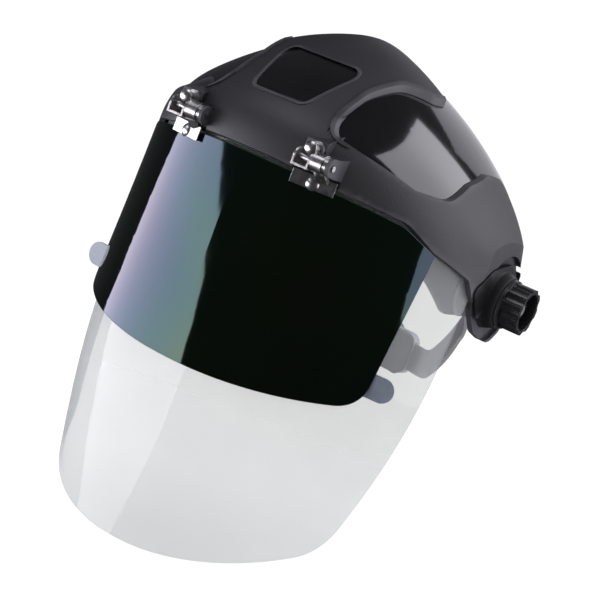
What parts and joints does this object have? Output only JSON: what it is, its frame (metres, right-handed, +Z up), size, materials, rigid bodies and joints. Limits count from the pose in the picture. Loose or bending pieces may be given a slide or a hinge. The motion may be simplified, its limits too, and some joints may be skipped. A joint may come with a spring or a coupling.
{
  "type": "face shield",
  "caption": "Industrial face shield: ventless crown with a clear window, a dark outer shade hinged on two clips, and adjustable headgear with side tilt knobs and a nape ratchet.",
  "frame": {"origin": "middle of the crown's tilt axis, between the two ears, where the head sits", "axes": "+X to the wearer's left, -Y the way the wearer looks, +Z up"},
  "size_m": [0.2432, 0.256, 0.2869],
  "materials": {
    "crown_plastic": "matt dark grey moulded nylon with a fine grain",
    "dome_plastic": "high gloss black moulded plastic",
    "window_sheet": "clear polycarbonate sheet",
    "shade_sheet": "very dark green polycarbonate sheet",
    "black_plastic": "satin black moulded plastic",
    "knob_plastic": "semi-gloss black moulded plastic",
    "headgear_plastic": "satin mid grey moulded plastic",
    "tab_plastic": "smooth grey-blue plastic",
    "pad_foam": "black fabric-faced foam pad",
    "bright_steel": "bright nickel-plated steel",
    "bolt_steel": "zinc-plated steel",
    "brass": "machined brass"
  },
  "bodies": {
    "headgear": {"headband": "headgear_plastic", "brow_pad": "pad_foam", "strap_pin": "headgear_plastic", "strap_rivets": "black_plastic", "left_pivot_bolt": "bolt_steel", "right_pivot_bolt": "bolt_steel", "left_friction_washer": "black_plastic", "right_friction_washer": "black_plastic", "left_pivot_block": "headgear_plastic", "right_pivot_block": "headgear_plastic", "left_band_rivets": "black_plastic", "right_band_rivets": "black_plastic", "left_rear_band": "headgear_plastic", "right_rear_band": "headgear_plastic", "left_crown_strap": "headgear_plastic", "right_crown_strap": "headgear_plastic"},
    "crown": {"crown_frame": "crown_plastic", "crown_dome": "dome_plastic", "clear_window": "window_sheet", "window_retainer": "black_plastic", "window_studs": "black_plastic", "left_hinge_stirrup": "bright_steel", "right_hinge_stirrup": "bright_steel", "left_hinge_pin": "bright_steel", "right_hinge_pin": "bright_steel", "left_hinge_washers": "bright_steel", "right_hinge_washers": "bright_steel", "left_hinge_screw": "bright_steel", "right_hinge_screw": "bright_steel", "left_hinge_sleeve": "bright_steel", "right_hinge_sleeve": "bright_steel", "left_hinge_nut": "bright_steel", "right_hinge_nut": "bright_steel", "left_tilt_cup": "black_plastic", "right_tilt_cup": "black_plastic"},
    "shade": {"ir_shade": "shade_sheet", "left_lift_tab": "tab_plastic", "right_lift_tab": "tab_plastic", "left_shade_clip": "bright_steel", "right_shade_clip": "bright_steel", "left_clip_rivet": "bright_steel", "right_clip_rivet": "bright_steel"},
    "left_knob": {"left_tilt_knob": "knob_plastic", "left_knob_insert": "brass"},
    "right_knob": {"right_tilt_knob": "knob_plastic", "right_knob_insert": "brass"},
    "ratchet": {"ratchet_housing": "headgear_plastic", "nape_pad": "pad_foam"},
    "ratchet_wheel": {"ratchet_knob": "knob_plastic", "ratchet_pinion": "black_plastic"}
  },
  "joints": [
    {"name": "crown_tilt", "type": "hinge", "parent": "headgear", "child": "crown", "pos_m": [0, 0, 0], "axis": [-1, 0, 0], "range_deg": [0, 80]},
    {"name": "shade_flip", "type": "hinge", "parent": "crown", "child": "shade", "pos_m": [0, -0.137, 0.0384], "axis": [-1, 0, 0], "range_deg": [0, 100]},
    {"name": "left_knob_turn", "type": "hinge", "parent": "headgear", "child": "left_knob", "pos_m": [0.1, 0, 0], "axis": [1, 0, 0], "range_deg": [0, 180]},
    {"name": "right_knob_turn", "type": "hinge", "parent": "headgear", "child": "right_knob", "pos_m": [-0.1, 0, 0], "axis": [-1, 0, 0], "range_deg": [0, 180]},
    {"name": "ratchet_turn", "type": "hinge", "parent": "ratchet", "child": "ratchet_wheel", "pos_m": [0, 0.1, -0.062], "axis": [0, 1, 0], "range_deg": [-85, 85]},
    {"name": "ratchet_slide", "type": "slide", "parent": "headgear", "child": "ratchet", "axis": [0, 1, 0], "range_m": [-0.0088, 0.0088], "deforming": ["left_rear_band", "right_rear_band"]}
  ],
  "couplings": [
    {"joint": "ratchet_turn", "follows": "ratchet_slide", "rad_per_m": 166.67}
  ]
}
